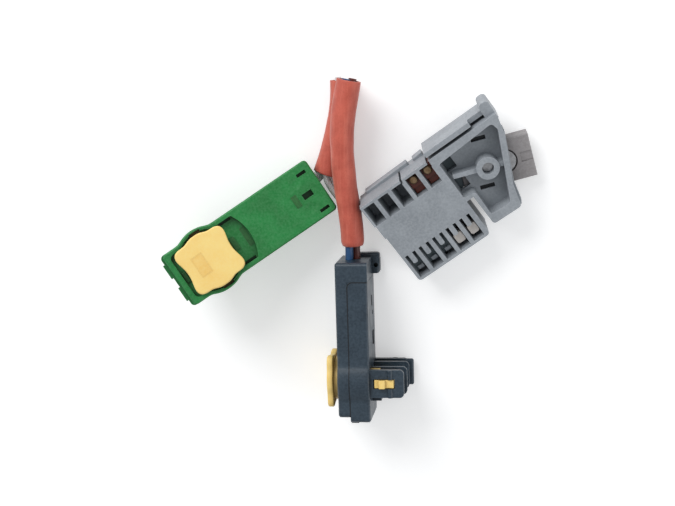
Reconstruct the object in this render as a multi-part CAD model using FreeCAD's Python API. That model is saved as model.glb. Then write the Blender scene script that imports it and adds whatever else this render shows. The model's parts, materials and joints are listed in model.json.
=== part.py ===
import FreeCAD, Part
import math
import os

V = FreeCAD.Vector

# Loose wiring set: a green plug, a navy plug and a grey five-way block on red-orange sleeved leads.
# Every connector is drawn in its own axes and then laid on the floor; sizes are in millimetres.

# Plug shells. x is the width, y runs to the wire end, z to the knob, and the lock axis is x = y = 0.
PLUG_HALF_W = 8.85
BULGE_R = 10.3
BULGE_BLEND_R = 4.0
COVER_T = 3.5
HOUSING_T = 6.1
SHELL_CORNER_R = 1.2
SHELL_EDGE = 0.4
WRAP_LEN = 5.8
PART_GAP = 0.12
HOUSING_LOCK_END = 12.0
TAB_OUT = 0.6
TAB_T = 2.2
TAB_SPANS = ((-6.2, -1.5), (1.8, 6.45))
# The navy cover has an ear below its wire end
EAR_W = 4.0
EAR_LEN = 5.2
EAR_DROP = 2.4
EAR_R = 1.0
EAR_HOLE_R = 0.7
EAR_HOLE_DEPTH = 3.0
# Small latch windows of the cover: x from, x to, distance of the start from the wire end, length
COVER_WINDOWS = ((-6.4, -5.4, 5.0, 3.1), (-0.5, 1.35, 6.9, 3.3), (6.2, 7.2, 4.9, 3.1))
COVER_WINDOW_FLOOR = 1.0
# Shallow round dimples beside the outer two windows: x, distance from the wire end
DIMPLES = ((-4.3, 6.6), (4.3, 6.6))
DIMPLE_R = 6.0
DIMPLE_DEPTH = 0.35

# Well round the knob, in the cover
WELL_FLOOR_Z = 1.4
WELL_HALF_W = 7.4
WELL_BULGE_R = 9.2
WELL_LOCK_END = 9.5
WELL_ARC_R = 14.4
WELL_CORNER_R = 1.5
WELL_SLOT_W = 0.9
WELL_SLOT_Y0 = 8.0
WELL_SLOT_Y1 = 12.0
# Slots in the well's floor beside the knob's flanks
FLANK_SLOT_X0 = 8.2
FLANK_SLOT_X1 = 9.5
FLANK_SLOT_Y0 = -1.2
FLANK_SLOT_Y1 = 2.4

# Lock knob and its spindle
KNOB_Z0 = 5.2
KNOB_T = 1.8
KNOB_FLANK_X = 9.05
KNOB_FLANK_R = 6.5
KNOB_DIP_R = 2.0
KNOB_LOBE = V(5.9, 6.6, 0)
KNOB_LOBE_R = 1.95
KNOB_WAIST_Y = 7.7
KNOB_EDGE = 0.4
HUB_R = 6.4
HUB_GAP = 0.3
PEG_SIDE = 3.6
PEG_TOP_GAP = 0.6
SPINDLE_R = 3.0
RUN_GAP = 0.06
COLLAR_R = 4.6
COLLAR_T = 1.2
BODY_GAP = 0.3

# Cam on the spindle and the two bolts that it pushes out
CAM_HALF = 1.05
CAM_R = 0.9
BOLT_STROKE = 1.4
BOLT_OUT = 1.2
BOLT_HALF_W = 1.25
BOLT_GAP = 0.2
BOLT_ROOT = 1.0
BOLT_EDGE_R = 0.5
LUG_Z0 = -10.8
LUG_Z1 = -8.8
WINDOW_Z0 = -13.6
WINDOW_Z1 = -7.2

# Nose of the plug: two cheeks and two inner plates
NOSE_HALF = 4.2
CHEEK_T = 1.6
CHEEK_TIP_Z = -16.3
PLATE_X = 3.0
PLATE_T = 1.2
PLATE_TIP_Z = -16.9
TIP_R = 1.3
COLUMN_R = 0.9
COLUMN_Z = -12.2
COLUMN_IN = 0.3
LUG_Y = -6.0
LUG_SIDE = 1.6
LUG_HALF_W = 2.0
LUG_DEPTH = 2.7

# Contacts inside a plug
BORE_DEPTH = 2.6
BARREL_R = 1.15
BARREL_LEN = 4.2
STRIP_T = 0.8
STRIP_W = 1.4
STRIP_Z = -4.9
RISER_LEN = 1.8
BLADE_X = 5.6
BLADE_Y0 = 2.0
BLADE_W = 1.8
BLADE_TIP_Z = -15.0
CHANNEL_GAP = 0.15
BORE_GAP = 0.12

# The green and the navy plug differ in length, cover end and where the two leads go in
GREEN_WIRE_END = 40.3
GREEN_COVER_LOCK_END = 11.2
GREEN_BORES = ((-2.9, -1.9), (-1.1, -3.8))
NAVY_WIRE_END = 36.5
NAVY_COVER_LOCK_END = 10.5
NAVY_BORES = ((-1.05, -1.95), (1.15, -0.05))

# Grey five-way block. x along the rows, y across them, z to the open face.
BLOCK_W = 25.5
BLOCK_H = 29.2
BLOCK_T = 11.0
BLOCK_CORNER_R = 1.2
JUT = 0.4
JUT_Y = BLOCK_H - 12.2
JUT_TOP = 0.8
JUT_TOP_T = 3.0
JUT_IN = 2.0
TOP_PITCH = 4.97
TOP_X0 = -0.1
CELL_W = 3.7
TOP_Y0 = BLOCK_H - 7.4
TOP_Y1 = BLOCK_H - 0.8
TOP_FLOOR = 1.5
LOW_PITCH = 4.86
LOW_X0 = 0.9
LOW_W = 3.6
LOW_Y0 = 0.8
LOW_Y1 = 9.0
LOW_FLOOR = 2.5
TONGUE_W = 1.5
TONGUE_LEN = 3.4
TONGUE_TIP_R = 0.5
RAMP_LEN = 1.2
RAMP_W = 2.0
RAMP_H = 2.5
WAYS = 5
FOOT_Y0 = BLOCK_H - 7.2
FOOT_Y1 = BLOCK_H - 1.2
FOOT_DROP = 5.1
FOOT_W = BLOCK_W - 1.5
FOOT_CORNER_R = 0.8
FOOT_HOLES_Y = (BLOCK_H - 5.2, BLOCK_H - 2.6)
FOOT_HOLE_Z = -2.4
FOOT_HOLE_DEPTH = 2.5
# Narrow slots through the top edge: x from, x to, depth from the edge, z from, z to
EDGE_SLOTS = ((13.4, 14.1, 1.3, -1.0, BLOCK_T + 1), (17.2, 19.1, 0.8, -1.0, 2.6))

# Flange beside the block, with its pocket, boss and rib. Its x runs from the block's side.
POCKET_FLOOR = 5.2
WEB_T = 1.2
FLANGE_W = 21.7
FLANGE_ROOT = 1.0
# Where the gap between block and flange ends, and the flange's lower corners
GAP_W = 2.4
GAP_TOP_Y = 12.3
FLANGE_LOW = ((2.55, 1.8), (12.1, 1.6))
FLANGE_SIDE = ((13.9, 8.6), (20.4, 22.8))
FLANGE_CORNER_DROP = 1.2
POCKET_LOW = ((10.2, 4.5), (3.6, 4.7), (3.8, 13.2), (-0.1, 13.7))
# The pocket's top corners: x, distance from the top edge
POCKET_TOP = ((-0.1, 2.8), (19.1, 1.75), (19.6, 4.3))
POCKET_R = 1.0
BOSS_X = BLOCK_W + 10.7
BOSS_Y = 16.7
BOSS_R = 3.4
BOSS_BORE_R = 1.75
BOSS_TOP = 10.2
BOSS_SINK = 0.5
RIB_T = 1.35
RIB_TOP = 9.4
RIB_TURN = -20.7
RIB_BACK = 10.4
RIB_FRONT = 5.2
SLOT_LEN = 4.4
SLOT_W = 1.35
SLOT_PLACES = ((13.0, 24.4), (7.05, 10.7))
# Deeper windows in the pocket floor beside the block: y from, y to
FLOOR_WINDOWS = ((21.2, BLOCK_H - 2.8), (14.2, 18.9))
FLOOR_WINDOW_X = 0.1
FLOOR_WINDOW_W = 3.3
FLOOR_WINDOW_Z = 1.0
# Flap along the top edge. Its y and the hook's run from the top edge.
FLAP_GAP = 1.0
FLAP_T = 1.5
FLAP_X0 = BLOCK_W - 1.8
FLAP_X1 = BLOCK_W + 13.8
FLAP_STEP_Z = 8.0
FLAP_ROOT_Z = 2.5
FLAP_SLIT_W = 0.85
FLAP_SLIT_IN = 2.2
HOOK_X0 = BLOCK_W + 18.5
HOOK_W = 3.2
HOOK_OUT = 4.3
HOOK_IN = 2.0
HOOK_Z = 9.0
HOOK_R = 1.2

# Arm under the flange, its screw and its rivet
ARM_W = 13.4
ARM_Z0 = -0.6
ARM_TOP_GAP = 0.1
ARM_BACK = 8.0
ARM_FRONT = 13.8
ARM_SHIFT = -1.4
ARM_EDGE = 0.3
RIVET_ALONG = 5.4
RECESS_ALONG = 12.2
RECESS_LEN = 4.0
RECESS_W = 3.0
RECESS_DEPTH = 0.4
RIVET_HEAD_T = 1.6
RIVET_SHANK_R = 1.5
RIVET_R = 3.35
RIVET_RING = 0.45
RING_DEPTH = 1.0
SCREW_HEAD_R = 2.8
SCREW_HEAD_T = 1.4
SCREW_R = 1.6
SCREW_TOP = 8.2

# Inserts in the grey block
INSERT_GAP = 0.15
INSERT_TOP = 8.6
INSERT_STEP_LEN = 2.2
INSERT_STEP_H = 2.4
FERRULE_IN = 1.8
FERRULE_FLOOR = 2.0
FERRULE_R = 1.35
FERRULE_TOP = 9.8
FERRULE_EDGE = 0.4
LATCH_TOP = 9.2
LATCH_SIDE_GAP = 0.4
LATCH_CORNER_R = 0.7

# Leads
SLEEVE_R = 3.6
SLEEVE_BORE_R = 2.85
NAVY_LEAD_R = 1.2
WHITE_LEAD_R = 0.9
NAVY_LEAD_OFFSET = V(-0.85, 0, 0.95)
WHITE_OFFSET = 1.4
ARC_SHARE = 0.45
# Leads run straight for this length before they enter a plug, and from here to here into the grey foot
LEAD_STRAIGHT = 2.0
FOOT_LEAD_START = -2.0
FOOT_LEAD_END = 1.4

# Where the connectors lie on the floor, in the layout axes (x right, y away, z up)
GREEN_TURN = 34.5
GREEN_AXIS = V(-36.22, 0.27, 0)
NAVY_TURN = 2.0
NAVY_AXIS = V(6.20, -36.52, 0)
GREY_TURN = 36.0
# The block hangs from its upper corner, where the white leads go in
GREY_UPPER_CORNER = V(8.14005, 19.03303, 0)

# Sleeve routes in the layout axes: from the cut end to the mouth
SLEEVE_1 = [
    V(4.87, 53.6, 11.15), V(3.95, 48.6, 11.15), V(3.0, 42.4, 11.1), V(2.75, 35.6, 11.0),
    V(3.1, 28.6, 10.85), V(3.85, 21.4, 10.4), V(5.15, 14.2, 9.9), V(5.8, 8.0, 9.3), V(5.95, 3.6, 8.95),
]
SLEEVE_2 = [
    V(1.9, 53.2, 3.65), V(2.05, 47.9, 3.65), V(1.3, 42.0, 3.65),
    V(0.0, 36.0, 3.65), V(-1.5, 30.2, 3.65), V(-3.2, 25.1, 3.65),
]
# The leads stick out a little beyond the cut ends of the sleeves
NAVY_LEAD_TAIL = [V(5.03, 54.0, 11.15), V(4.7, 52.2, 11.2)]
WHITE_TAIL = [V(1.88, 53.6, 3.65), V(1.98, 51.9, 3.6)]
# Two white leads run on from the second sleeve, under the first, to the foot of the grey block
WHITE_3_FREE = [V(-3.4, 24.9, 5.05), V(-1.7, 20.6, 3.4), V(1.3, 16.6, 2.4), V(5.2, 14.0, 2.2)]
WHITE_4_FREE = [
    V(-1.95, 25.1, 3.35), V(-1.05, 22.2, 2.1), V(2.4, 18.3, 1.9), V(4.7, 16.4, 2.6),
]


class Axes:
    """A connector's own axes, laid in the layout axes."""

    def __init__(self, origin, ex, ey):
        self.origin = origin
        self.ex = ex
        self.ey = ey
        self.ez = ex.cross(ey)

    def at(self, x, y, z):
        return self.origin + self.ex * x + self.ey * y + self.ez * z

    def matrix(self):
        a, b, c, o = self.ex, self.ey, self.ez, self.origin
        return FreeCAD.Matrix(a.x, b.x, c.x, o.x, a.y, b.y, c.y, o.y, a.z, b.z, c.z, o.z, 0, 0, 0, 1)

    def place(self, shape):
        moved = shape.copy()
        moved.transformShape(self.matrix(), True)
        return moved


def box(x0, x1, y0, y1, z0, z1):
    return Part.makeBox(x1 - x0, y1 - y0, z1 - z0, V(x0, y0, z0))


def cyl(radius, z0, z1, x=0.0, y=0.0):
    return Part.makeCylinder(radius, z1 - z0, V(x, y, z0))


def prism(points, z0, z1):
    wire = Part.makePolygon([V(x, y, z0) for x, y in points + points[:1]])
    return Part.Face(wire).extrude(V(0, 0, z1 - z0))


def arc(cx, cy, radius, start, end):
    def point(angle):
        return V(cx + radius * math.cos(angle), cy + radius * math.sin(angle), 0)
    return Part.Arc(point(start), point((start + end) / 2), point(end)).toShape()


def line(a, b):
    return Part.LineSegment(a, b).toShape()


def fuse_all(first, *others):
    return first.fuse(list(others)).removeSplitter()


def upright_edges(shape, wanted):
    """Edges along z whose x and y pass the test."""
    found = []
    for edge in shape.Edges:
        if len(edge.Vertexes) != 2:
            continue
        a, b = edge.Vertexes[0].Point, edge.Vertexes[1].Point
        straight = abs(a.x - b.x) < 1e-6 and abs(a.y - b.y) < 1e-6
        if straight and wanted(a.x, a.y):
            found.append(edge)
    return found


def level_edges(shape, z):
    """Edges that lie wholly at height z."""
    return [e for e in shape.Edges if abs(e.BoundBox.ZMin - z) < 1e-4 and abs(e.BoundBox.ZMax - z) < 1e-4]


def chain(edges):
    return Part.Wire(Part.__sortEdges__(edges))


def plug_outline(half_w, bulge_r, low, high, corner_r):
    """A strip from y = low to y = high with a round bulge on each side of the lock axis."""
    reach = half_w + BULGE_BLEND_R
    turn_y = math.sqrt((bulge_r + BULGE_BLEND_R) ** 2 - reach ** 2)
    phi = math.atan2(turn_y, reach)
    q = math.pi / 2
    edges = [
        line(V(-half_w + corner_r, low, 0), V(half_w - corner_r, low, 0)),
        arc(half_w - corner_r, low + corner_r, corner_r, -q, 0),
        line(V(half_w, low + corner_r, 0), V(half_w, -turn_y, 0)),
        arc(reach, -turn_y, BULGE_BLEND_R, 2 * q, 2 * q - phi),
        arc(0, 0, bulge_r, -phi, phi),
        arc(reach, turn_y, BULGE_BLEND_R, 2 * q + phi, 2 * q),
        line(V(half_w, turn_y, 0), V(half_w, high - corner_r, 0)),
        arc(half_w - corner_r, high - corner_r, corner_r, 0, q),
        line(V(half_w - corner_r, high, 0), V(-half_w + corner_r, high, 0)),
        arc(-half_w + corner_r, high - corner_r, corner_r, q, 2 * q),
        line(V(-half_w, high - corner_r, 0), V(-half_w, turn_y, 0)),
        arc(-reach, turn_y, BULGE_BLEND_R, 0, -phi),
        arc(0, 0, bulge_r, 2 * q - phi, 2 * q + phi),
        arc(-reach, -turn_y, BULGE_BLEND_R, phi, 0),
        line(V(-half_w, -turn_y, 0), V(-half_w, low + corner_r, 0)),
        arc(-half_w + corner_r, low + corner_r, corner_r, 2 * q, 3 * q),
    ]
    return chain(edges)


def slab(wire, z0, z1):
    face = Part.Face(wire)
    face.translate(V(0, 0, z0))
    return face.extrude(V(0, 0, z1 - z0))


def contact(bore, side, wire_end, grow=0.0):
    """Barrel behind the lead, strip inside the housing and blade down into the nose."""
    x, z = bore
    y1 = wire_end - BORE_DEPTH
    y0 = y1 - BARREL_LEN
    barrel = Part.makeCylinder(BARREL_R + grow, BARREL_LEN + grow, V(x, y0 - grow, z), V(0, 1, 0))
    strip_top = STRIP_Z + STRIP_T
    half = STRIP_W / 2 + grow
    riser_y = y0 - RISER_LEN
    low, high = STRIP_Z - grow, strip_top + grow
    riser = box(x - half, x + half, riser_y - grow, y0 + grow, low, max(z, strip_top) + grow)
    blade_x = side * BLADE_X
    across = box(min(x, blade_x) - half, max(x, blade_x) + half, riser_y - grow, y0 + grow, low, high)
    strip = box(blade_x - half, blade_x + half, BLADE_Y0 - grow, y0 + grow, low, high)
    half_t = STRIP_T / 2 + grow
    blade = box(
        blade_x - half_t, blade_x + half_t,
        BLADE_Y0 - grow, BLADE_Y0 + BLADE_W + grow, BLADE_TIP_Z, strip_top + grow,
    )
    return fuse_all(barrel, riser, across, strip, blade)


def plug_channels(bores, wire_end, lead_r):
    """What the leads and contacts need cut out of the shells."""
    cuts = []
    for bore, side in zip(bores, (-1, 1)):
        x, z = bore
        bottom = V(x, wire_end - BORE_DEPTH, z)
        cuts.append(Part.makeCylinder(lead_r + BORE_GAP, BORE_DEPTH + 1, bottom, V(0, 1, 0)))
        cuts.append(contact(bore, side, wire_end, CHANNEL_GAP))
    return cuts


def cover_windows(wire_end):
    """Three small latch windows near the wire end, with a dimple inboard of the outer two."""
    cuts = []
    for x0, x1, back, length in COVER_WINDOWS:
        y0 = wire_end - back
        cuts.append(box(x0, x1, y0, y0 + length, COVER_WINDOW_FLOOR, COVER_T + 1))
    for x, back in DIMPLES:
        middle = V(x, wire_end - back, COVER_T + DIMPLE_R - DIMPLE_DEPTH)
        cuts.append(Part.makeSphere(DIMPLE_R, middle))
    return cuts


def well_cut():
    outline = plug_outline(WELL_HALF_W, WELL_BULGE_R, -WELL_LOCK_END, 2 * WELL_ARC_R, WELL_CORNER_R)
    strip = slab(outline, WELL_FLOOR_Z, COVER_T + 1)
    return strip.common(cyl(WELL_ARC_R, WELL_FLOOR_Z - 1, COVER_T + 2))


def cover_ear(wire_end):
    """A rounded ear below the wire end, with a blind hole in its inner side."""
    x0, x1 = -PLUG_HALF_W, -PLUG_HALF_W + EAR_W
    low = -HOUSING_T - EAR_DROP
    ear = box(x0, x1, wire_end - EAR_LEN, wire_end, low, -HOUSING_T + 1)
    ear = ear.makeFillet(EAR_R, level_edges(ear, low))
    middle = V(x1, wire_end - EAR_LEN / 2, -HOUSING_T - EAR_DROP / 2)
    return ear.cut(Part.makeCylinder(EAR_HOLE_R, EAR_HOLE_DEPTH, middle, V(-1, 0, 0)))


def front_cover(wire_end, lock_end, cuts, with_ear):
    """The knob-side shell, which wraps the whole thickness at the wire end."""
    outline = plug_outline(PLUG_HALF_W, BULGE_R, -lock_end, wire_end, SHELL_CORNER_R)
    shell = slab(outline, 0, COVER_T)
    shell = shell.makeChamfer(SHELL_EDGE, level_edges(shell, COVER_T))
    wrap = slab(outline, -HOUSING_T, 0).common(
        box(-2 * BULGE_R, 2 * BULGE_R, wire_end - WRAP_LEN, wire_end + 1, -HOUSING_T - 1, 1)
    )
    shell = fuse_all(shell, wrap)
    if with_ear:
        shell = fuse_all(shell, cover_ear(wire_end))
    shell = shell.cut([well_cut(), cyl(SPINDLE_R + RUN_GAP, -1, COVER_T)] + cover_windows(wire_end))
    for side in (-1, 1):
        x0, x1 = sorted((side * (WELL_HALF_W - WELL_SLOT_W), side * WELL_HALF_W))
        shell = shell.cut(box(x0, x1, WELL_SLOT_Y0, WELL_SLOT_Y1, -1, COVER_T))
        x0, x1 = sorted((side * FLANK_SLOT_X0, side * FLANK_SLOT_X1))
        shell = shell.cut(box(x0, x1, FLANK_SLOT_Y0, FLANK_SLOT_Y1, -1, COVER_T))
    return shell.cut(cuts)


def window_cut(x0, x1):
    return box(x0, x1, -BOLT_HALF_W - BOLT_GAP, BOLT_HALF_W + BOLT_GAP, WINDOW_Z0, WINDOW_Z1)


def nose_plate(x0, x1, tip_z):
    plate = box(x0, x1, -NOSE_HALF, NOSE_HALF, tip_z, -HOUSING_T + 1)
    tips = [
        e for e in level_edges(plate, tip_z)
        if abs(abs(e.CenterOfMass.y) - NOSE_HALF) < 1e-4
    ]
    return plate.makeFillet(TIP_R, tips).cut(window_cut(x0 - 1, x1 + 1))


def cheek(side):
    outer = PLUG_HALF_W
    inner = PLUG_HALF_W - CHEEK_T
    plate = nose_plate(min(side * inner, side * outer), max(side * inner, side * outer), CHEEK_TIP_Z)
    column_x = side * (outer - COLUMN_IN)
    column = Part.makeCylinder(COLUMN_R, 2 * NOSE_HALF, V(column_x, -NOSE_HALF, COLUMN_Z), V(0, 1, 0))
    column = column.cut(window_cut(-2 * outer, 2 * outer))
    column = column.cut(box(-inner, inner, -2 * NOSE_HALF, 2 * NOSE_HALF, 2 * COLUMN_Z, 0))
    return plate.fuse(column)


def rear_housing(wire_end, cuts):
    """The mating-side shell with its slotted nose."""
    top = -PART_GAP
    outline = plug_outline(PLUG_HALF_W, BULGE_R, -HOUSING_LOCK_END, wire_end + 5, SHELL_CORNER_R)
    shell = slab(outline, -HOUSING_T, top)
    shell = shell.makeChamfer(SHELL_EDGE, level_edges(shell, -HOUSING_T))
    end = wire_end - WRAP_LEN - PART_GAP
    shell = shell.cut(box(-2 * BULGE_R, 2 * BULGE_R, end, wire_end + 10, -2 * HOUSING_T, 1))
    tabs = []
    for x0, x1 in TAB_SPANS:
        y = -HOUSING_LOCK_END
        tabs.append(box(x0, x1, y - TAB_OUT, y + 1, top - TAB_T, top))
    plates = [cheek(-1), cheek(1)]
    for side in (-1, 1):
        x0, x1 = sorted((side * PLATE_X, side * (PLATE_X + PLATE_T)))
        plates.append(nose_plate(x0, x1, PLATE_TIP_Z))
    half = LUG_SIDE / 2
    lug = box(-LUG_HALF_W, LUG_HALF_W, LUG_Y - half, LUG_Y + half, -HOUSING_T - LUG_DEPTH, -HOUSING_T + 1)
    shell = fuse_all(shell, lug, *(tabs + plates))
    pocket = cyl(COLLAR_R + BODY_GAP, -2 * BODY_GAP - COLLAR_T, 1)
    return shell.cut([pocket, cyl(SPINDLE_R + RUN_GAP, -HOUSING_T - 1, 1)] + cuts)


def knob_outline():
    """Tangent arcs: a flank at each side, four corner lobes, dips between them and a waist at each end."""
    flank = V(KNOB_FLANK_X - KNOB_FLANK_R, 0, 0)
    between = KNOB_LOBE - flank
    near, far = KNOB_FLANK_R + KNOB_DIP_R, KNOB_LOBE_R + KNOB_DIP_R
    opening = math.acos((between.Length ** 2 + near ** 2 - far ** 2) / (2 * between.Length * near))
    a = math.atan2(between.y, between.x) - opening
    dip = flank + V(near * math.cos(a), near * math.sin(a), 0)
    b = math.atan2(dip.y - KNOB_LOBE.y, dip.x - KNOB_LOBE.x)
    rise = KNOB_WAIST_Y - KNOB_LOBE.y
    waist_r = (KNOB_LOBE.x ** 2 + rise ** 2 - KNOB_LOBE_R ** 2) / (2 * (KNOB_LOBE_R - rise))
    c = math.atan2(rise + waist_r, -KNOB_LOBE.x)
    half_turn = math.pi
    edges = []
    for side in (1, -1):
        middle = 0 if side > 0 else half_turn
        edges.append(arc(side * flank.x, 0, KNOB_FLANK_R, middle - a, middle + a))
        middle = -side * half_turn / 2
        half = c - half_turn / 2
        edges.append(arc(0, side * (KNOB_WAIST_Y + waist_r), waist_r, middle - half, middle + half))
        for end in (1, -1):
            angles = (a + half_turn, b + half_turn, b, c)
            a1, b1, b0, c1 = [end * (angle if side > 0 else half_turn - angle) for angle in angles]
            edges.append(arc(side * dip.x, end * dip.y, KNOB_DIP_R, a1, b1))
            edges.append(arc(side * KNOB_LOBE.x, end * KNOB_LOBE.y, KNOB_LOBE_R, b0, c1))
    return chain(edges)


def lock_knob():
    cap = slab(knob_outline(), KNOB_Z0, KNOB_Z0 + KNOB_T)
    cap = cap.makeChamfer(KNOB_EDGE, level_edges(cap, KNOB_Z0 + KNOB_T))
    hub = cyl(HUB_R, WELL_FLOOR_Z + HUB_GAP, KNOB_Z0)
    half = PEG_SIDE / 2 + RUN_GAP
    socket = box(-half, half, -half, half, WELL_FLOOR_Z, KNOB_Z0 - PEG_TOP_GAP + RUN_GAP)
    return fuse_all(cap, hub).cut(socket)


def lock_spindle():
    """Square peg, shaft, collar held between the shells, and the cam in the nose."""
    half = PEG_SIDE / 2
    peg = box(-half, half, -half, half, 0, KNOB_Z0 - PEG_TOP_GAP)
    shaft = cyl(SPINDLE_R, -HOUSING_T, WELL_FLOOR_Z)
    collar = cyl(COLLAR_R, -BODY_GAP - COLLAR_T, -BODY_GAP)
    z0, z1 = WINDOW_Z0 + BODY_GAP, -HOUSING_T
    web = box(-CAM_HALF, CAM_HALF, -CAM_R, CAM_R, z0, z1)
    return fuse_all(peg, shaft, collar, web, cyl(CAM_R, z0, z1, CAM_HALF), cyl(CAM_R, z0, z1, -CAM_HALF))


def lock_bolt(side):
    """Flat bar in the nose windows, with the lug that stands out of the cheek when locked."""
    inner = CAM_R + BODY_GAP + BOLT_STROKE
    outer = PLUG_HALF_W
    z0, z1 = WINDOW_Z0 + BODY_GAP, WINDOW_Z1 - BODY_GAP
    bar = box(inner, outer, -BOLT_HALF_W, BOLT_HALF_W, z0, z1)
    tip = outer + BOLT_OUT
    lug = box(outer - BOLT_ROOT, tip, -BOLT_HALF_W, BOLT_HALF_W, LUG_Z0, LUG_Z1)
    slope = [e for e in lug.Edges if abs(e.CenterOfMass.x - tip) < 1e-4 and abs(e.CenterOfMass.y) < 1e-4]
    bolt = fuse_all(bar, lug.makeFillet(BOLT_EDGE_R, slope))
    if side < 0:
        bolt = bolt.mirror(V(0, 0, 0), V(1, 0, 0))
    return bolt


def plug_parts(name, wire_end, cover_lock_end, bores, lead_r, with_ear):
    cuts = plug_channels(bores, wire_end, lead_r)
    parts = {
        "front_cover": front_cover(wire_end, cover_lock_end, cuts, with_ear),
        "rear_housing": rear_housing(wire_end, cuts),
        "lock_knob": lock_knob(),
        "lock_spindle": lock_spindle(),
        "lock_bolt_left": lock_bolt(-1),
        "lock_bolt_right": lock_bolt(1),
        "contact_left": contact(bores[0], -1, wire_end),
        "contact_right": contact(bores[1], 1, wire_end),
    }
    return {name + "_" + key: shape for key, shape in parts.items()}


def beside(points):
    """Points of the flange in the block's own axes."""
    return [(BLOCK_W + x, y) for x, y in points]


def flange_outline():
    return beside([
        (-FLANGE_ROOT, BLOCK_H), (-FLANGE_ROOT, GAP_TOP_Y), (GAP_W, GAP_TOP_Y), *FLANGE_LOW, *FLANGE_SIDE,
        (FLANGE_W, BLOCK_H - FLANGE_CORNER_DROP), (FLANGE_W, BLOCK_H),
    ])


def pocket_outline():
    return beside([(x, BLOCK_H - drop) for x, drop in POCKET_TOP] + list(POCKET_LOW))


def arm_strip(z0, z1, grow):
    """The arm's plan, turned with the rib about the boss."""
    half = ARM_W / 2 + grow
    strip = box(-ARM_BACK - grow, ARM_FRONT, ARM_SHIFT - half, ARM_SHIFT + half, z0, z1)
    strip.rotate(V(0, 0, 0), V(0, 0, 1), RIB_TURN)
    strip.translate(V(BOSS_X, BOSS_Y, 0))
    return strip


def on_arm(along):
    """The place on the arm's centre line, that far from the boss."""
    turn = math.radians(RIB_TURN)
    x = along * math.cos(turn) - ARM_SHIFT * math.sin(turn)
    y = along * math.sin(turn) + ARM_SHIFT * math.cos(turn)
    return BOSS_X + x, BOSS_Y + y


def rounded_prism(points, z0, z1, radius):
    solid = prism(points, z0, z1)
    return solid.makeFillet(radius, upright_edges(solid, lambda x, y: True))


def slot_cut(x, y, length, width, z0, z1):
    cut = box(-length / 2, length / 2, -width / 2, width / 2, z0, z1)
    cut.rotate(V(0, 0, 0), V(0, 0, 1), RIB_TURN)
    cut.translate(V(x, y, 0))
    return cut


def flange():
    """The open pocket with its boss, rib, slots and the seat for the arm underneath."""
    body = prism(flange_outline(), 0, BLOCK_T)
    low, side = FLANGE_LOW[0][1], BLOCK_W + FLANGE_LOW[1][0]
    round_here = upright_edges(body, lambda x, y: y <= low or (x > side and y < BLOCK_H))
    body = body.makeFillet(POCKET_R, round_here)
    body = body.cut(rounded_prism(pocket_outline(), POCKET_FLOOR, BLOCK_T + 1, POCKET_R))
    rib = box(-RIB_BACK, RIB_FRONT, -RIB_T / 2, RIB_T / 2, POCKET_FLOOR - BOSS_SINK, RIB_TOP)
    rib.rotate(V(0, 0, 0), V(0, 0, 1), RIB_TURN)
    rib.translate(V(BOSS_X, BOSS_Y, 0))
    boss = cyl(BOSS_R, POCKET_FLOOR - BOSS_SINK, BOSS_TOP, BOSS_X, BOSS_Y)
    body = fuse_all(body, boss, rib)
    cuts = [
        cyl(BOSS_BORE_R, -1, BLOCK_T + 1, BOSS_X, BOSS_Y),
        arm_strip(-2, POCKET_FLOOR - WEB_T, INSERT_GAP),
    ]
    cuts += [slot_cut(x, y, SLOT_LEN, SLOT_W, -1, BLOCK_T) for x, y in beside(SLOT_PLACES)]
    x0 = BLOCK_W + FLOOR_WINDOW_X
    for y0, y1 in FLOOR_WINDOWS:
        cuts.append(box(x0, x0 + FLOOR_WINDOW_W, y0, y1, FLOOR_WINDOW_Z, POCKET_FLOOR + 1))
    return body.cut(cuts)


def flap():
    """The outer flap along the top edge, with its step, end hook and root web."""
    y0 = BLOCK_H + FLAP_GAP
    y1 = y0 + FLAP_T
    tall = box(FLAP_X0, FLAP_X1, y0, y1, 0, BLOCK_T)
    low = box(FLAP_X1 - 1, HOOK_X0 + 1, y0, y1, 0, FLAP_STEP_Z)
    root = box(FLAP_X0, HOOK_X0 + HOOK_W - 1, BLOCK_H - 1, y1, 0, FLAP_ROOT_Z)
    hook = box(HOOK_X0, HOOK_X0 + HOOK_W, BLOCK_H - HOOK_IN, BLOCK_H + HOOK_OUT, 0, HOOK_Z)
    hook = hook.makeFillet(HOOK_R, upright_edges(hook, lambda x, y: y > BLOCK_H))
    return [tall, low, root, hook]


def cell_x(row_x0, pitch, i):
    return row_x0 + pitch * i


def top_cell(i, z0, z1, inset=0.0):
    x0 = cell_x(TOP_X0, TOP_PITCH, i)
    return box(x0 + inset, x0 + CELL_W - inset, TOP_Y0 + inset, TOP_Y1 - inset, z0, z1)


def low_cell(i):
    """A lower window: a tongue hangs into it from above, and a ramp rises near its far end."""
    x0 = cell_x(LOW_X0, LOW_PITCH, i)
    mid = x0 + LOW_W / 2
    cut = box(x0, x0 + LOW_W, LOW_Y0, LOW_Y1, LOW_FLOOR, BLOCK_T + 1)
    half = TONGUE_W / 2
    tongue = box(mid - half, mid + half, LOW_Y1 - TONGUE_LEN, LOW_Y1 + 1, LOW_FLOOR - 1, BLOCK_T + 2)
    tip = tongue.makeFillet(TONGUE_TIP_R, upright_edges(tongue, lambda x, y: y < LOW_Y1))
    half = RAMP_W / 2
    ramp = box(mid - half, mid + half, LOW_Y0 - 1, LOW_Y0 + RAMP_LEN, LOW_FLOOR - 1, LOW_FLOOR + RAMP_H)
    return cut.cut([tip, ramp])


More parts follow.
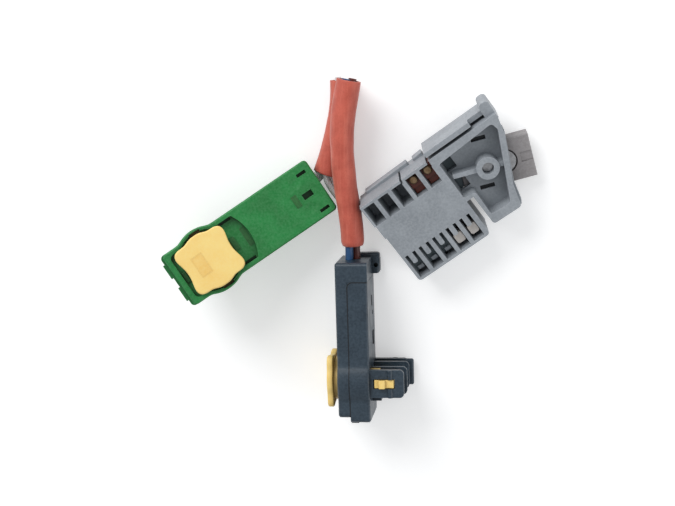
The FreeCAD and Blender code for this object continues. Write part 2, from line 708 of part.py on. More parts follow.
def grey_housing():
    body = box(0, BLOCK_W, 0, BLOCK_H, 0, BLOCK_T)
    body = body.makeFillet(BLOCK_CORNER_R, upright_edges(body, lambda x, y: y < BLOCK_H / 2))
    jut = box(-JUT, JUT_IN, JUT_Y, BLOCK_H, 0, BLOCK_T)
    jut = jut.fuse(box(-JUT_TOP, JUT_IN, TOP_Y0, BLOCK_H, BLOCK_T - JUT_TOP_T, BLOCK_T))
    foot = box(0, FOOT_W, FOOT_Y0, FOOT_Y1, -FOOT_DROP, 1)
    foot = foot.makeFillet(FOOT_CORNER_R, upright_edges(foot, lambda x, y: True))
    body = fuse_all(body, jut, foot, flange(), *flap())
    cuts = [top_cell(i, TOP_FLOOR, BLOCK_T + 1) for i in range(WAYS)]
    cuts += [low_cell(i) for i in range(WAYS)]
    cuts += [box(x0, x1, BLOCK_H - depth, BLOCK_H + 1, z0, z1) for x0, x1, depth, z0, z1 in EDGE_SLOTS]
    slit = box(FLAP_X0 - FLAP_SLIT_W, FLAP_X0, BLOCK_H - FLAP_SLIT_IN, BLOCK_H + HOOK_OUT, -1, BLOCK_T + 1)
    cuts.append(slit)
    for y in FOOT_HOLES_Y:
        start = V(-1, y, FOOT_HOLE_Z)
        cuts.append(Part.makeCylinder(WHITE_LEAD_R + BORE_GAP, FOOT_HOLE_DEPTH + 1, start, V(1, 0, 0)))
    return body.cut(cuts)


def arm_parts():
    """The arm under the flange, with the rivet set into it and the screw that holds it."""
    top = POCKET_FLOOR - WEB_T - ARM_TOP_GAP
    x, y = on_arm(RIVET_ALONG)
    seat = top - ARM_TOP_GAP - RIVET_HEAD_T
    arm = arm_strip(ARM_Z0, top, 0)
    arm = arm.makeChamfer(ARM_EDGE, level_edges(arm, top))
    arm = arm.cut([
        slot_cut(*on_arm(RECESS_ALONG), RECESS_LEN, RECESS_W, top - RECESS_DEPTH, top + 1),
        cyl(RIVET_R + RIVET_RING, top - RING_DEPTH, top + 1, x, y),
        cyl(RIVET_R + RUN_GAP, seat, top + 1, x, y),
        cyl(RIVET_SHANK_R + RUN_GAP, ARM_Z0 - 1, top, x, y),
        cyl(SCREW_R + INSERT_GAP, ARM_Z0 - 1, top + 1, BOSS_X, BOSS_Y),
        cyl(SCREW_HEAD_R + INSERT_GAP, ARM_Z0 - 1, ARM_Z0 + SCREW_HEAD_T, BOSS_X, BOSS_Y),
    ])
    rivet = fuse_all(cyl(RIVET_R, seat, seat + RIVET_HEAD_T, x, y), cyl(RIVET_SHANK_R, ARM_Z0, seat, x, y))
    head = cyl(SCREW_HEAD_R, ARM_Z0, ARM_Z0 + SCREW_HEAD_T, BOSS_X, BOSS_Y)
    screw = fuse_all(head, cyl(SCREW_R, ARM_Z0, SCREW_TOP, BOSS_X, BOSS_Y))
    return {"arm": arm, "arm_rivet": rivet, "arm_screw": screw}


def grey_parts():
    parts = {"grey_housing": grey_housing()}
    parts.update(arm_parts())
    for number, way in ((1, 3), (2, 4)):
        parts["brown_insert_%d" % number], parts["ferrule_%d" % number] = brown_insert(way)
        parts["white_latch_%d" % number] = white_latch(way)
    return parts


def brown_insert(way):
    """A stepped red-brown carrier in a top cell and the brass end that it holds."""
    x0 = cell_x(TOP_X0, TOP_PITCH, way)
    mid = x0 + CELL_W / 2
    top_y = TOP_Y1 - FERRULE_IN
    seat = TOP_FLOOR + FERRULE_FLOOR
    block = top_cell(way, TOP_FLOOR, INSERT_TOP, INSERT_GAP)
    step_y = TOP_Y0 + INSERT_STEP_LEN
    step = box(x0 - 1, x0 + CELL_W + 1, TOP_Y0 - 1, step_y, INSERT_TOP - INSERT_STEP_H, INSERT_TOP + 1)
    hole = cyl(FERRULE_R + RUN_GAP, seat, INSERT_TOP + 1, mid, top_y)
    ferrule = cyl(FERRULE_R, seat, FERRULE_TOP, mid, top_y)
    ferrule = ferrule.makeChamfer(FERRULE_EDGE, level_edges(ferrule, FERRULE_TOP))
    return block.cut([step, hole]), ferrule


def white_latch(way):
    """A white wedge below the tongue of a lower window, standing on the window's floor."""
    x0 = cell_x(LOW_X0, LOW_PITCH, way)
    mid = x0 + LOW_W / 2
    y1 = LOW_Y1 - TONGUE_LEN - INSERT_GAP
    half = LOW_W / 2 - LATCH_SIDE_GAP
    y0 = LOW_Y0 + RAMP_LEN + INSERT_GAP
    wedge = box(mid - half, mid + half, y0, y1, LOW_FLOOR, LATCH_TOP)
    return wedge.makeFillet(LATCH_CORNER_R, upright_edges(wedge, lambda x, y: True))


def section(at, along, radius, bore):
    """A disc across a route, or a ring where it has a bore."""
    disc = Part.Face(Part.Wire(Part.Circle(at, along, radius).toShape()))
    if bore:
        disc = disc.cut(Part.Face(Part.Wire(Part.Circle(at, along, bore).toShape())))
    return disc


def tube(points, radius, label, bore=0.0):
    """Straight runs joined by tangent bends, each bend as large as its two runs allow."""
    pieces = []
    radii = []
    length = 0
    start = points[0]
    for before, here, after in zip(points, points[1:], points[2:]):
        run_in, run_out = here - before, after - here
        share = ARC_SHARE * min(run_in.Length, run_out.Length)
        a, b = V(run_in).normalize(), V(run_out).normalize()
        turn = a.getAngle(b)
        bend_r = share / math.tan(turn / 2)
        first = here - a * share
        axis = a.cross(b).normalize()
        pieces.append(section(start, a, radius, bore).extrude(first - start))
        centre = first + axis.cross(a) * bend_r
        pieces.append(section(first, a, radius, bore).revolve(centre, axis, math.degrees(turn)))
        length += (first - start).Length + bend_r * turn
        radii.append(round(bend_r, 1))
        start = here + b * share
    along = V(points[-1] - start).normalize()
    pieces.append(section(start, along, radius, bore).extrude(points[-1] - start))
    length += (points[-1] - start).Length
    solid = fuse_all(*pieces)
    ideal = math.pi * (radius ** 2 - bore ** 2) * length
    print(label, "length", round(length, 1), "bends", radii, "volume share", round(solid.Volume / ideal, 4))
    return solid


def shifted(points, offset):
    return [p + offset for p in points]


def lead_parts(green, navy, grey):
    parts = {}
    for name, route in (("sleeve_navy", SLEEVE_1), ("sleeve_green", SLEEVE_2)):
        parts[name] = tube(route, SLEEVE_R, name, SLEEVE_BORE_R)
    for name, sign, bore in (("blue_lead", 1, NAVY_BORES[1]), ("brown_lead", -1, NAVY_BORES[0])):
        x, z = bore
        ends = [navy.at(x, NAVY_WIRE_END + y, z) for y in (LEAD_STRAIGHT, -BORE_DEPTH)]
        route = shifted(NAVY_LEAD_TAIL + SLEEVE_1[1:-1], NAVY_LEAD_OFFSET * sign) + ends
        parts[name] = tube(route, NAVY_LEAD_R, name)
    across = V(0.93, -0.36, 0)
    white = {
        "white_lead_1": (across * -WHITE_OFFSET, [], green, GREEN_BORES[0]),
        "white_lead_2": (V(0, 0, -WHITE_OFFSET), [], green, GREEN_BORES[1]),
        "white_lead_3": (V(0, 0, WHITE_OFFSET), WHITE_3_FREE, grey, FOOT_HOLES_Y[0]),
        "white_lead_4": (across * WHITE_OFFSET, WHITE_4_FREE, grey, FOOT_HOLES_Y[1]),
    }
    for name, (offset, free, axes, seat) in white.items():
        route = shifted(WHITE_TAIL + SLEEVE_2[1:-1], offset) + free
        if axes is green:
            x, z = seat
            route += [axes.at(x, GREEN_WIRE_END + y, z) for y in (LEAD_STRAIGHT, -BORE_DEPTH)]
        else:
            route += [axes.at(x, seat, FOOT_HOLE_Z) for x in (FOOT_LEAD_START, FOOT_LEAD_END)]
        parts[name] = tube(route, WHITE_LEAD_R, name)
    return parts


def lean_axes():
    """Each connector's axes, laid so that it rests on the points that it would rest on."""
    lean = math.atan2(-PLATE_TIP_Z - HOUSING_T, GREEN_WIRE_END - NOSE_HALF)
    a = math.radians(GREEN_TURN)
    ey = V(math.cos(a) * math.cos(lean), math.sin(a) * math.cos(lean), -math.sin(lean))
    green = Axes(GREEN_AXIS, V(math.sin(a), -math.cos(a), 0), ey)
    lean = math.atan2(BULGE_R - PLUG_HALF_W, NAVY_WIRE_END)
    a = math.radians(NAVY_TURN)
    ey = V(-math.sin(a) * math.cos(lean), math.cos(a) * math.cos(lean), -math.sin(lean))
    navy = Axes(NAVY_AXIS, ey.cross(V(-math.cos(a), -math.sin(a), 0)), ey)
    lean = math.atan2(FOOT_DROP, FOOT_Y0)
    a = math.radians(GREY_TURN)
    ey = V(-math.sin(a) * math.cos(lean), math.cos(a) * math.cos(lean), math.sin(lean))
    grey = Axes(GREY_UPPER_CORNER - ey * BLOCK_H, V(math.cos(a), math.sin(a), 0), ey)
    return green, navy, grey


def lay_down(axes, parts):
    """Lift or drop the axes so that the lowest point of the parts lies on the floor."""
    low = min(axes.place(shape).optimalBoundingBox(False).ZMin for shape in parts.values())
    axes.origin = axes.origin - V(0, 0, low)
    return {name: axes.place(shape) for name, shape in parts.items()}


def build():
    green, navy, grey = lean_axes()
    objects = {}
    objects.update(lay_down(green, plug_parts(
        "green", GREEN_WIRE_END, GREEN_COVER_LOCK_END, GREEN_BORES, WHITE_LEAD_R, False)))
    objects.update(lay_down(navy, plug_parts(
        "navy", NAVY_WIRE_END, NAVY_COVER_LOCK_END, NAVY_BORES, NAVY_LEAD_R, True)))
    objects.update(lay_down(grey, grey_parts()))
    leads = lead_parts(green, navy, grey)
    whole = Part.makeCompound(list(objects.values())).optimalBoundingBox(False)
    shift = V(-(whole.XMin + whole.XMax) / 2, -(whole.YMin + whole.YMax) / 2, -whole.ZMin)
    print("shift", [round(c, 3) for c in shift])
    print("box", round(whole.XLength, 2), round(whole.YLength, 2), round(whole.ZLength, 2))
    for name, axes in (("green", green), ("navy", navy), ("grey", grey)):
        for label, v in (("origin", axes.origin + shift), ("ex", axes.ex), ("ey", axes.ey), ("ez", axes.ez)):
            print(name, label, [round(c, 5) for c in v])
    objects.update(leads)
    os.makedirs("parts", exist_ok=True)
    for name, shape in objects.items():
        shape.translate(shift)
        if not shape.isValid():
            print("not valid:", name)
        print(name, "solids", len(shape.Solids), "volume", round(shape.Volume, 2))
        shape.exportStep("parts/%s.step" % name)


build()
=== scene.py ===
import json
import math

import bpy
import bmesh
from mathutils import Matrix, Vector


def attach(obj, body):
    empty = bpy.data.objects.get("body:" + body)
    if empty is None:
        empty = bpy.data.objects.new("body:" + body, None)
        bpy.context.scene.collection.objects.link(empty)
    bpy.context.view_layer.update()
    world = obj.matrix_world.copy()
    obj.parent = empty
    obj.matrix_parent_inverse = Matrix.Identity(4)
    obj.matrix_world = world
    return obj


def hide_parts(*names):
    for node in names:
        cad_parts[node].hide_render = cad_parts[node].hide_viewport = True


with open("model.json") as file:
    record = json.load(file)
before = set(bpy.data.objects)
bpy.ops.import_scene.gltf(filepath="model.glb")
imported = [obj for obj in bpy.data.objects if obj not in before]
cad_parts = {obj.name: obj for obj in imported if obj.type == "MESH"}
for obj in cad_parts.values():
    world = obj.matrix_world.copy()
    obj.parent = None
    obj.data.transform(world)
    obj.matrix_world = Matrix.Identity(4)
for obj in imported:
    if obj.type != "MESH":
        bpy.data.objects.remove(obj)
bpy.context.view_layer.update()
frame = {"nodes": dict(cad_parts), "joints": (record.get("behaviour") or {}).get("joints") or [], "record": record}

# A connector wiring harness tail: a green plug, a navy plug and a grey multi-way block on red-orange sleeves.
# Routes, cords, lights and the CAD nodes' bevels are in metres. What is measured along a connector's own
# axes, and the bevels of its trim, is in millimetres, and MM turns it into metres.
MM = 0.001

# The camera, in the layout axes that the routes use
CAMERA_AT = Vector((0.053946, 0.073730, 0.394561))
CAMERA_X = Vector((0.990784, 0.0, -0.13546))
CAMERA_Y = Vector((-0.02466, 0.983295, -0.18037))
CAMERA_LENS = 70
CAMERA_SENSOR = 36
CAMERA_NEAR = 0.01
CAMERA_FAR = 10

# Floor and lights. The lamps aim at the origin: name, place, size, watts
FLOOR_COLOUR = (0.86, 0.86, 0.86, 1)
FLOOR_GLOW = 0.36
FLOOR_HALF = 3.0
FLOOR_DROP = 0.00005
WORLD_COLOUR = (0.96, 0.98, 1.0, 1)
WORLD_STRENGTH = 0.5
LAMPS = (("key", (-0.34, 0.52, 0.46), 0.5, 3.6), ("fill", (0.55, -0.12, 0.28), 0.5, 0.8))

# Leads and sleeves: sizes, and the points of their routes in the layout axes
SLEEVE_D = 0.0072
SLEEVE_WALL = 0.00075
SLEEVE_SIDES = 64
SLEEVE_STEP = 0.0004
NAVY_LEAD_D = 0.0024
WHITE_LEAD_D = 0.0018
NAVY_LEAD_OFFSET = Vector((-0.00085, 0, 0.00095))
WHITE_OFFSET = 0.0014
WHITE_ACROSS = Vector((0.93, -0.36, 0))
SLEEVE_1 = [
    Vector((0.00487, 0.0536, 0.01115)), Vector((0.00395, 0.0486, 0.01115)), Vector((0.0030, 0.0424, 0.0111)),
    Vector((0.00275, 0.0356, 0.0110)), Vector((0.0031, 0.0286, 0.01085)), Vector((0.00385, 0.0214, 0.0104)),
    Vector((0.00515, 0.0142, 0.0099)), Vector((0.0058, 0.0080, 0.0093)), Vector((0.00593, 0.0043, 0.0090)),
]
SLEEVE_2 = [
    Vector((0.0019, 0.0532, 0.00365)), Vector((0.00205, 0.0479, 0.00365)), Vector((0.0013, 0.0420, 0.00365)),
    Vector((0.0, 0.0360, 0.00365)), Vector((-0.0015, 0.0302, 0.00365)), Vector((-0.0032, 0.0251, 0.00365)),
]
NAVY_LEAD_TAIL = [Vector((0.00503, 0.0540, 0.01115)), Vector((0.0047, 0.0522, 0.0112))]
WHITE_TAIL = [Vector((0.00188, 0.0536, 0.00365)), Vector((0.00198, 0.0519, 0.0036))]
WHITE_3_FREE = [
    Vector((-0.0034, 0.0249, 0.00505)), Vector((-0.0017, 0.0206, 0.0034)),
    Vector((0.0013, 0.0166, 0.0024)), Vector((0.0052, 0.0140, 0.0022)),
]
WHITE_4_FREE = [
    Vector((-0.00195, 0.0251, 0.00335)), Vector((-0.00105, 0.0222, 0.0021)),
    Vector((0.0024, 0.0183, 0.0019)), Vector((0.0047, 0.0164, 0.0026)),
]

# Where the leads enter, in millimetres of the connector
GREEN_BORES = ((-2.9, -1.9), (-1.1, -3.8))
NAVY_BORES = ((-1.05, -1.95), (1.15, -0.05))
GREEN_WIRE_END = 40.3
NAVY_WIRE_END = 36.5
BORE_DEPTH = 2.6
LEAD_STRAIGHT = 2.0
FOOT_HOLES_Y = (24.0, 26.6)
FOOT_HOLE_Z = -2.4
FOOT_LEAD = (-2.0, 1.4)

# The navy plug's place in the layout axes, the grey block's turn, and the middle of its top ways in
# millimetres of its own axes
NAVY_LAYOUT = Vector((0.00620, -0.03652, 0))
GREY_TURN = 36.0
TOP_WAYS_AT = (11.7, 25.1, 11.0)

# The knob, in millimetres: its outline as cosines of even multiples of the angle, its heights, its hub, and
# the plain field on its face
KNOB_OUTLINE = (8.89, 0.15, -1.02, 0.45, 0.25, -0.13, -0.06)
KNOB_TOP = 7.0
KNOB_UNDER = 5.2
KNOB_UNDER_EDGE = 0.25
KNOB_UNDER_INSET = 1.0
KNOB_ROUND = 0.5
KNOB_CROWN = 0.05
KNOB_CROWN_INSET = 3.0
KNOB_SIDES = 192
ROUND_STEPS = 6
HUB_R = 6.4
HUB_Z = (1.7, 5.25)
HUB_SIDES = 64
KNOB_FIELD = ((-3.4, 3.1), (-4.6, -0.9))
GREEN_KNOB_SIZE = 1.0
NAVY_KNOB_SIZE = 0.94

# The plugs' shells, in millimetres
GREEN_LOCK_END = 11.2
NAVY_LOCK_END = 10.5
PLUG_HALF_W = 8.85
BULGE_R = 10.3
BLEND_R = 4.0
BLEND_END = math.sqrt((BULGE_R + BLEND_R) ** 2 - (PLUG_HALF_W + BLEND_R) ** 2)
BULGE_END = BULGE_R * BLEND_END / (BULGE_R + BLEND_R)

# Trim of both plugs: x, y and z from and to, or for a label the z of the face that it sits on
WELL_LABEL = ((-2.6, 3.4), (12.25, 13.8), 1.4)
WELL_PAD = ((-1.7, 2.2), (8.0, 9.6), (1.3, 1.9))
WELL_PAD_LOW = ((-1.3, 2.1), (-9.3, -8.0), (1.3, 1.9))
# The flank slots are olive blocks: painted shade, standing for the yellow bolt deep in shadow
FLANK_LEFT = ((-9.48, -8.22), (-1.18, 2.38), (1.2, 2.4))
FLANK_RIGHT = ((8.22, 9.48), (-1.18, 2.38), (1.2, 2.4))
COVER_LABEL_X = (-1.65, 2.2)
COVER_LABEL_FROM_END = (10.15, 8.4)
COVER_FACE = 3.5
# The navy plug's own trim
# The rear slots are dark blocks on the face: painted shade
REAR_SLOT = ((-2.3, -1.2), (22.0, 25.1), (-6.2, -6.0))
REAR_SLOT_LOW = ((-3.6, -3.2), (19.0, 20.2), (-6.2, -6.0))
REAR_LABEL = ((-4.4, -2.5), (9.8, 14.0), -6.25)
END_RIM = ((-8.7, -5.2), (35.6, 37.6), (-8.4, -0.8))
NOSE_TIP = ((-8.75, -7.35), (-4.1, 4.1), (-18.0, -15.0))
NOSE_STRIP = ((2.0, 6.0), (3.25, 3.85), (-9.0, -6.0))

# The line between cover and rear housing: how far it stays from the shell's ends, its corner, its own section
SEAM_FROM_WIRE_END = 5.85
SEAM_FROM_LOCK_END = 0.3
SEAM_BACK_Z = -6.0
SEAM_Z = -0.06
SEAM_CORNER = 1.6
SEAM_CORNER_STEPS = 8
SEAM_STEPS = 40
SEAM_HALF_W = 0.17
SEAM_PROUD = 0.03
SEAM_SUNK = 0.1

# The grey block, in millimetres: the first way's edge, the pitch and the width of its top and lower ways
TOP_X0 = -0.1
TOP_PITCH = 4.97
CELL_W = 3.7
LOW_X0 = 0.9
LOW_PITCH = 4.86
LOW_W = 3.6
EMPTY_LOW_WAYS = (0, 1, 2)
BROWN_WAYS = (3, 4)
# Inside a way, with the gap that each piece leaves on both sides. The way floors are darker grey blocks of painted
# shade
WAY_FLOOR_GAP = 0.05
WAY_FLOOR_Y = (2.1, 8.9)
WAY_FLOOR_Z = (2.4, 7.6)
WAY_RAMP_GAP = 0.8
WAY_RAMP_Y = (2.2, 3.4)
WAY_RAMP_Z = (7.0, 8.4)
BROWN_STEP_GAP = 0.2
BROWN_STEP_Y = (21.95, 24.1)
BROWN_STEP_Z = (5.9, 8.1)
# The lip along its lower back edge, with a gap in it: name, x from, x to
LIPS = (("long", 2.0, 17.2), ("short", 19.1, 22.6))
# y of the lip's root, of its left end and of its right end, and how much further out it leans at each z
LIP_Y = (29.0, 30.0, 30.3)
LIP_LEAN = ((-0.1, 0.2), (2.6, 0.0))
# The step round the flange's lower end and outer side
FLANGE_STEP = (
    (28.6, 2.4), (28.6, 1.1), (37.8, 0.9), (38.6, 2.4), (40.0, 8.4),
    (46.2, 22.4), (45.0, 22.4), (39.0, 8.8), (37.2, 2.4),
)
FLANGE_STEP_Z = (0.3, 7.6)
# The windows beside the block in the flange pocket's floor, with darker grey floor blocks of painted shade in them
WINDOW_X = (25.65, 28.85)
WINDOWS_Y = ((21.25, 26.35), (14.25, 18.85))
WINDOW_FLOOR_Z = (0.9, 3.4)
# The two slots in that floor, turned with the pocket's rib, and half the size of the dark blocks of painted shade
# that close them
POCKET_SLOTS = ((38.5, 24.4), (32.55, 10.7))
POCKET_SLOT_TURN = -20.7
POCKET_SLOT_HALF = (2.25, 0.72)
POCKET_SLOT_Z = (4.05, 4.5)

# Rounded edges of the CAD nodes; SMALL_BEVEL where none is named
BEVEL = {
    "green_front_cover": 0.00022, "green_rear_housing": 0.00022, "navy_front_cover": 0.00022,
    "navy_rear_housing": 0.00022, "grey_housing": 0.0002, "arm": 0.00015,
}
SMALL_BEVEL = 0.00012
WELD_GAP = 0.000002
FLAT_ANGLE = 0.6
SHARP_ANGLE = 32
CAD_BEVEL_STEPS = 2
TRIM_BEVEL_STEPS = 3

# Nodes that smoother pieces stand for
REDRAWN = {
    "sleeve_navy", "sleeve_green", "blue_lead", "brown_lead", "white_lead_1", "white_lead_2", "white_lead_3",
    "white_lead_4", "green_lock_knob", "navy_lock_knob",
}

# Plastics: dark, base and light colour from 0 to 255, roughness, paler edges (partly rubbed wear, partly painted
# highlight), grain, brightness of the painted shade in hollows
PLASTICS = {
    "green_plastic": ((14, 112, 46), (22, 132, 60), (110, 176, 124), 0.42, 0.5, 0.12, 0.5),
    # The relief colours are darker copies of their plastic: painted shade on the labels, the pads and the knob's
    # field
    "green_relief": ((30, 92, 42), (40, 106, 50), (84, 146, 84), 0.5, 0.5, 0.12, 0.5),
    "navy_plastic": ((32, 46, 58), (46, 61, 73), (96, 112, 126), 0.36, 0.4, 0.12, 0.5),
    "navy_relief": ((20, 28, 36), (28, 38, 48), (80, 94, 106), 0.45, 0.4, 0.12, 0.5),
    "yellow_plastic": ((252, 212, 122), (255, 222, 134), (255, 234, 172), 0.5, 0.3, 0.2, 0.5),
    "yellow_relief": ((246, 202, 110), (252, 212, 122), (255, 234, 172), 0.5, 0.3, 0.2, 0.5),
    "grey_plastic": ((138, 144, 150), (154, 160, 166), (212, 216, 221), 0.45, 0.7, 0.12, 1.0),
    "arm_plastic": ((142, 137, 137), (156, 151, 151), (204, 203, 206), 0.55, 0.5, 0.12, 0.5),
    "brown_plastic": ((98, 42, 30), (120, 54, 40), (164, 98, 80), 0.4, 0.45, 0.12, 0.9),
    "white_plastic": ((212, 205, 199), (228, 221, 214), (242, 238, 234), 0.45, 0.3, 0.12, 0.9),
    # shade: painted shade on the floors in the grey block's windows and ways
    "painted_shade_plastic": ((78, 90, 95), (92, 104, 109), (126, 136, 140), 0.6, 0.2, 0.12, 1.0),
    # olive: painted shade, for the yellow bolt seen deep in shadow
    "olive_painted_shade": ((78, 66, 26), (104, 84, 34), (130, 108, 50), 0.55, 0.2, 0.12, 1.0),
    # seam: dark parting lines, and also painted shade in the rear slots and the pocket's slots
    "seam_and_shade_plastic": ((12, 17, 22), (18, 24, 30), (40, 48, 56), 0.6, 0.2, 0.12, 0.5),
}
# Metals: base and dark reflectance, roughness
METALS = {
    "steel": ((0.56, 0.56, 0.57, 1), (0.32, 0.32, 0.33, 1), 0.42),
    "brass": ((0.40, 0.28, 0.17, 1), (0.20, 0.13, 0.07, 1), 0.45),
}
# Lead insulation: dark and base colour from 0 to 255
INSULATIONS = {
    "blue_insulation": ((32, 68, 112), (44, 92, 142)),
    "brown_insulation": ((84, 38, 34), (112, 52, 44)),
    "white_insulation": ((226, 228, 228), (244, 245, 244)),
}
INSULATION_ROUGH = 0.33
# How wide the paler edges reach (partly rubbed wear, partly painted highlight), and how far the painted shade in
# narrow hollows reaches
PALE_EDGE_R = 0.00035
PLASTIC_HOLLOW = 0.004
SLEEVE_HOLLOW = 0.003


class Axes:
    """A connector's own axes in the shared frame; at() takes millimetres."""

    def __init__(self, origin, ex, ez):
        self.origin = origin
        self.ex = ex.normalized()
        self.ez = ez.normalized()
        self.ey = self.ez.cross(self.ex)

    def at(self, x, y, z):
        return self.origin + (self.ex * x + self.ey * y + self.ez * z) * MM


def joint(name):
    return next(j for j in frame["joints"] if j["name"] == name)


def mount(name):
    return next(m for m in frame["record"]["mounts"] if m["name"] == name)


def plug_axes(name):
    """x runs from the left bolt to the right one, z along the lock axis to the knob."""
    turn = joint(name + "_knob_turn")
    slide = joint(name + "_bolt_left_slide")
    return Axes(Vector(turn["pos_m"]), Vector(slide["axis"]), Vector(turn["axis"]))


def grey_axes():
    """From the mount over the top ways, and the block's turn on the floor."""
    top = mount("grey_top_ways")
    turn = math.radians(GREY_TURN)
    axes = Axes(Vector((0, 0, 0)), Vector((math.cos(turn), math.sin(turn), 0)), Vector(top["axis"]))
    axes.origin = Vector(top["pos_m"]) - axes.at(*TOP_WAYS_AT)
    return axes


GREEN = plug_axes("green")
NAVY = plug_axes("navy")
GREY = grey_axes()
# From the layout axes to the shared frame
SHIFT = Vector((NAVY.origin.x, NAVY.origin.y, 0)) - NAVY_LAYOUT


def laid(points, offset=Vector((0, 0, 0))):
    """Points of the layout axes in the shared frame."""
    return [p + SHIFT + offset for p in points]


def link(thing):
    bpy.context.scene.collection.objects.link(thing)


def make_camera():
    data = bpy.data.cameras.new("camera")
    data.lens = CAMERA_LENS
    data.sensor_width = CAMERA_SENSOR
    data.clip_start = CAMERA_NEAR
    data.clip_end = CAMERA_FAR
    camera = bpy.data.objects.new("camera", data)
    link(camera)
    z = CAMERA_X.cross(CAMERA_Y).normalized()
    turn = Matrix((CAMERA_X, CAMERA_Y, z)).transposed().to_4x4()
    camera.matrix_world = Matrix.Translation(CAMERA_AT + SHIFT) @ turn
    bpy.context.scene.camera = camera


def srgb(r, g, b):
    """A colour read as 0 to 255, made linear."""
    def linear(value):
        c = value / 255
        return c / 12.92 if c <= 0.04045 else ((c + 0.055) / 1.055) ** 2.4
    return (linear(r), linear(g), linear(b), 1.0)


class Shader:
    """A material's nodes, with short calls for the ones used here."""

    def __init__(self, name):
        self.material = bpy.data.materials.new(name)
        self.material.use_nodes = True
        self.tree = self.material.node_tree
        self.tree.nodes.clear()
        self.out = self.add("ShaderNodeOutputMaterial")
        self.coords = self.add("ShaderNodeTexCoord").outputs["Object"]

    def add(self, kind, **settings):
        node = self.tree.nodes.new(kind)
        for key, value in settings.items():
            setattr(node, key, value)
        return node

    def put(self, socket, value):
        """Links a socket, or sets a plain value on it."""
        if isinstance(value, bpy.types.NodeSocket):
            self.tree.links.new(value, socket)
        else:
            socket.default_value = value

    def stretched(self, scale):
        node = self.add("ShaderNodeMapping")
        node.inputs["Scale"].default_value = scale
        self.put(node.inputs["Vector"], self.coords)
        return node.outputs["Vector"]

    def noise(self, scale, detail=3.0, roughness=0.5, coords=None):
        node = self.add("ShaderNodeTexNoise")
        self.put(node.inputs["Vector"], coords or self.coords)
        node.inputs["Scale"].default_value = scale
        node.inputs["Detail"].default_value = detail
        node.inputs["Roughness"].default_value = roughness
        return node.outputs["Fac"]

    def fit(self, value, low, high, to_low=0.0, to_high=1.0):
        node = self.add("ShaderNodeMapRange")
        self.put(node.inputs["Value"], value)
        node.inputs["From Min"].default_value = low
        node.inputs["From Max"].default_value = high
        node.inputs["To Min"].default_value = to_low
        node.inputs["To Max"].default_value = to_high
        return node.outputs["Result"]

    def math(self, operation, a, b):
        node = self.add("ShaderNodeMath", operation=operation)
        self.put(node.inputs[0], a)
        self.put(node.inputs[1], b)
        return node.outputs["Value"]

    def mix(self, share, a, b):
        node = self.add("ShaderNodeMix", data_type="RGBA", blend_type="MIX")
        self.put(node.inputs["Factor"], share)
        self.put(node.inputs["A"], a)
        self.put(node.inputs["B"], b)
        return node.outputs["Result"]

    def edges(self, radius):
        """1 along outer and inner edges, 0 on the flat."""
        rounded = self.add("ShaderNodeBevel", samples=4)
        rounded.inputs["Radius"].default_value = radius
        plain = self.add("ShaderNodeNewGeometry").outputs["Normal"]
        dot = self.add("ShaderNodeVectorMath", operation="DOT_PRODUCT")
        self.put(dot.inputs[0], rounded.outputs["Normal"])
        self.put(dot.inputs[1], plain)
        return self.fit(dot.outputs["Value"], 0.97, 0.75)

    def hollows(self, distance):
        """1 in the open, less in narrow hollows."""
        node = self.add("ShaderNodeAmbientOcclusion", samples=6)
        node.inputs["Distance"].default_value = distance
        return node.outputs["AO"]

    def bump(self, height, strength, distance):
        node = self.add("ShaderNodeBump")
        node.inputs["Strength"].default_value = strength
        node.inputs["Distance"].default_value = distance
        self.put(node.inputs["Height"], height)
        return node.outputs["Normal"]

    def finish(self, colour, roughness, normal, **constants):
        shader = self.add("ShaderNodeBsdfPrincipled")
        self.put(shader.inputs["Base Color"], colour)
        self.put(shader.inputs["Roughness"], roughness)
        self.put(shader.inputs["Normal"], normal)
        for key, value in constants.items():
            shader.inputs[key.replace("_", " ")].default_value = value
        self.tree.links.new(shader.outputs["BSDF"], self.out.inputs["Surface"])
        return self.material


def moulded_plastic(name, dark, base, light, rough, edge, grain, painted_shade_level):
    """Moulded plastic: cloudy colour, paler edges that are partly rubbed wear and partly painted highlight,
    painted shade in hollows, and a fine spark-eroded grain.
    """
    s = Shader(name)
    cloud = s.fit(s.noise(110, 4.0, 0.6), 0.36, 0.66)
    colour = s.mix(cloud, dark, base)
    speck = s.fit(s.noise(1500, 3.0, 0.6), 0.35, 0.7, 0.0, 0.22)
    colour = s.mix(speck, colour, light)
    # Paler edges, partly rubbed wear and partly painted highlight
    edge_breakup = s.fit(s.noise(420, 4.0, 0.65), 0.38, 0.66, 0.25, 1.0)
    worn_and_lit = s.math("MULTIPLY", s.edges(PALE_EDGE_R), edge_breakup)
    worn_and_lit = s.math("MULTIPLY", worn_and_lit, edge)
    colour = s.mix(worn_and_lit, colour, light)
    # Painted shade: narrow hollows darken towards a dimmed dark colour
    shade = s.fit(s.hollows(PLASTIC_HOLLOW), 0.25, 0.85)
    colour = s.mix(shade, tuple(c * painted_shade_level for c in dark[:3]) + (1.0,), colour)
    roughness = s.fit(s.noise(260), 0.3, 0.7, rough - 0.06, rough + 0.08)
    normal = s.bump(s.noise(3800, 2.0), grain, 0.00004)
    return s.finish(colour, roughness, normal)


def metal(name, base, dark, rough):
    """Metal with a cloudy sheen and fine pits."""
    s = Shader(name)
    cloud = s.fit(s.noise(700, 4.0, 0.65), 0.35, 0.7)
    colour = s.mix(cloud, dark, base)
    roughness = s.fit(s.noise(1500), 0.3, 0.7, rough - 0.1, rough + 0.1)
    normal = s.bump(s.noise(5000, 2.0), 0.12, 0.00003)
    return s.finish(colour, roughness, normal, Metallic=1.0)


